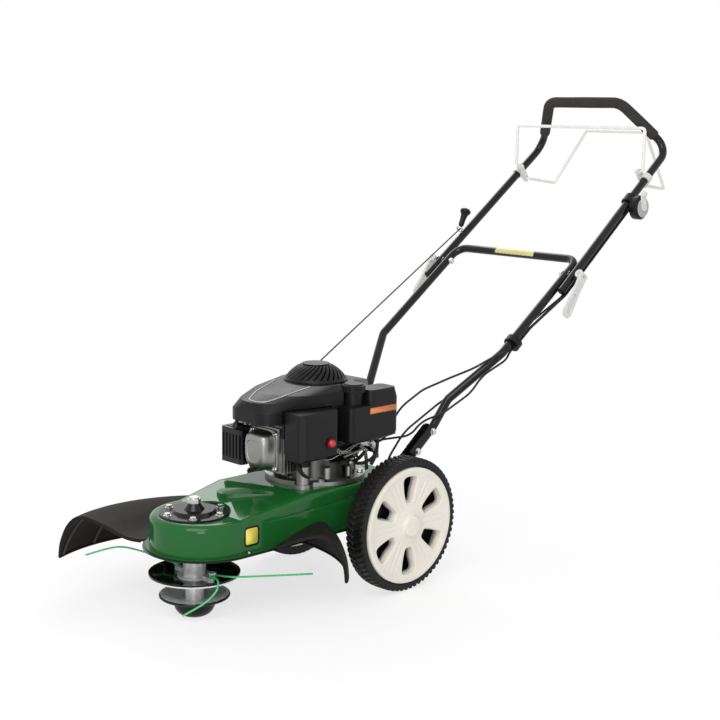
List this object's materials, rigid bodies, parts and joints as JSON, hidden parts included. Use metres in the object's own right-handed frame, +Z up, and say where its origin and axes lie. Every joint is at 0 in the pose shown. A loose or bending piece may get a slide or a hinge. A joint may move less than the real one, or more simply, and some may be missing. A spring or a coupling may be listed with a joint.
{
  "type": "wheeled string trimmer",
  "caption": "Walk-behind wheeled string trimmer with a vertical-shaft engine on a pressed deck, spinning cutting head with cord lines under a debris shield, wheels and a folding handle",
  "frame": {"origin": "On the ground under the cutting head's spindle, at the middle of the glide bowl's foot", "axes": "Forward is -Y, up is +Z, and +X is the operator's left; the handle rises towards +Y"},
  "size_m": [0.573, 1.5757, 1.0927],
  "materials": {
    "green_paint": "gloss powder coat",
    "black_paint": "gloss powder coat",
    "black_plastic": "satin moulded",
    "zinc": "zinc plated",
    "cast_alloy": "as cast",
    "black_rubber": "matte",
    "tyre_rubber": "matte moulded tread",
    "cream_plastic": "satin moulded",
    "white_plastic": "moulded",
    "white_coat": "dipped coat",
    "grey_plastic": "moulded",
    "rope": "braided",
    "green_line": "drawn monofilament",
    "red_rubber": "soft moulded"
  },
  "bodies": {
    "chassis": {"deck": "green_paint", "belt_cover": "black_paint", "debris_shield": "black_plastic", "line_cutter": "zinc", "bolts": "zinc", "spindle_housing": "black_paint", "spindle_bearings": "zinc", "side_plates": "black_paint", "axle": "zinc", "lower_handle": "black_paint", "cable_clips": "black_plastic", "crankcase": "cast_alloy", "cylinder_block": "cast_alloy", "rocker_cover": "zinc", "spark_plug": "black_plastic", "muffler": "black_paint", "blower_housing": "black_plastic", "recoil_cover": "black_plastic", "fuel_tank": "black_plastic", "carburettor": "cast_alloy", "air_filter_cover": "black_plastic", "starter_rope": "rope", "throttle_cable": "black_rubber", "stop_cable": "black_rubber", "clutch_cable": "black_rubber", "drive_belt": "black_rubber", "tension_spring": "zinc"},
    "cutter_head": {"spindle_shaft": "zinc", "spindle_pulley": "black_paint", "head_hub": "zinc", "upper_disc": "black_paint", "lower_disc": "zinc", "glide_bowl": "black_plastic", "line_right": "green_line", "line_front": "green_line", "line_left": "green_line"},
    "crank": {"crankshaft": "zinc", "flywheel": "black_paint", "engine_pulley": "black_paint"},
    "idler": {"idler_arm": "zinc"},
    "idler_wheel": {"idler_pulley": "zinc"},
    "left_wheel": {"tyre_left": "tyre_rubber", "rim_left": "cream_plastic"},
    "right_wheel": {"tyre_right": "tyre_rubber", "rim_right": "cream_plastic"},
    "upper_frame": {"upper_handle": "black_paint", "grip_foam": "black_rubber", "handle_hardware": "zinc", "bail_clips": "white_plastic", "throttle_housing": "grey_plastic"},
    "left_cam": {"cam_lever_left": "white_plastic"},
    "right_cam": {"cam_lever_right": "white_plastic"},
    "stop_control": {"stop_bail": "white_coat"},
    "clutch_control": {"clutch_bail": "white_coat"},
    "throttle_control": {"throttle_lever": "white_plastic"},
    "pull_grip": {"starter_grip": "black_plastic"},
    "fuel_filler": {"fuel_cap": "black_plastic"},
    "oil_filler": {"oil_cap": "black_plastic"},
    "primer": {"primer_bulb": "red_rubber"}
  },
  "joints": [
    {"name": "left_wheel_spin", "type": "hinge", "parent": "chassis", "child": "left_wheel", "pos_m": [0.176, 0.44, 0.15], "axis": [1, 0, 0], "continuous": true},
    {"name": "right_wheel_spin", "type": "hinge", "parent": "chassis", "child": "right_wheel", "pos_m": [-0.176, 0.44, 0.15], "axis": [1, 0, 0], "continuous": true},
    {"name": "crank_spin", "type": "hinge", "parent": "chassis", "child": "crank", "pos_m": [0, 0.34, 0.245], "axis": [0, 0, 1], "continuous": true},
    {"name": "head_spin", "type": "hinge", "parent": "chassis", "child": "cutter_head", "pos_m": [0, 0, 0.1], "axis": [0, 0, 1], "continuous": true},
    {"name": "idler_swing", "type": "hinge", "parent": "chassis", "child": "idler", "pos_m": [0.088, 0.232, 0.19], "axis": [0, 0, 1], "range_deg": [-8, 0], "deforming": ["drive_belt", "tension_spring"]},
    {"name": "idler_spin", "type": "hinge", "parent": "idler", "child": "idler_wheel", "pos_m": [0.076, 0.152, 0.176], "axis": [0, 0, 1], "continuous": true},
    {"name": "handle_fold", "type": "hinge", "parent": "chassis", "child": "upper_frame", "pos_m": [0, 0.98027, 0.66831], "axis": [1, 0, 0], "range_deg": [0, 140], "deforming": ["throttle_cable", "stop_cable", "clutch_cable", "starter_rope"]},
    {"name": "left_cam_swing", "type": "hinge", "parent": "upper_frame", "child": "left_cam", "pos_m": [0.2369, 0.98027, 0.66831], "axis": [0, -0.8192, 0.5736], "range_deg": [0, 100]},
    {"name": "right_cam_swing", "type": "hinge", "parent": "upper_frame", "child": "right_cam", "pos_m": [-0.2369, 0.98027, 0.66831], "axis": [0, 0.8192, -0.5736], "range_deg": [0, 100]},
    {"name": "stop_bail_swing", "type": "hinge", "parent": "upper_frame", "child": "stop_control", "pos_m": [0, 1.26313, 0.90775], "axis": [1, 0, 0], "range_deg": [-21, 0], "stiffness_Nm_per_rad": 2, "springref_deg": 11.46},
    {"name": "clutch_bail_swing", "type": "hinge", "parent": "upper_frame", "child": "clutch_control", "pos_m": [0, 1.28841, 0.87421], "axis": [1, 0, 0], "range_deg": [0, 44], "stiffness_Nm_per_rad": 2, "springref_deg": -34.38},
    {"name": "throttle_swing", "type": "hinge", "parent": "upper_frame", "child": "throttle_control", "pos_m": [0.24, 1.2175, 0.82205], "axis": [1, 0, 0], "range_deg": [-25, 35]},
    {"name": "starter_pull", "type": "slide", "parent": "upper_frame", "child": "pull_grip", "axis": [0, 0.4202, 0.9074], "range_m": [0, 0.4], "stiffness_N_per_m": 20, "springref_m": -0.2},
    {"name": "fuel_cap_turn", "type": "hinge", "parent": "chassis", "child": "fuel_filler", "pos_m": [0.098, 0.362, 0.445], "axis": [0, 0, 1], "range_deg": [0, 90]},
    {"name": "oil_cap_turn", "type": "hinge", "parent": "chassis", "child": "oil_filler", "pos_m": [0.072, 0.24, 0.293], "axis": [0, 0, 1], "range_deg": [0, 90]},
    {"name": "primer_press", "type": "slide", "parent": "chassis", "child": "primer", "axis": [-1, 0, 0], "range_m": [0, 0.003], "stiffness_N_per_m": 800}
  ],
  "couplings": [
    {"joint": "head_spin", "follows": "crank_spin", "ratio": 0.73913},
    {"joint": "idler_swing", "follows": "clutch_bail_swing", "ratio": -0.1818}
  ]
}
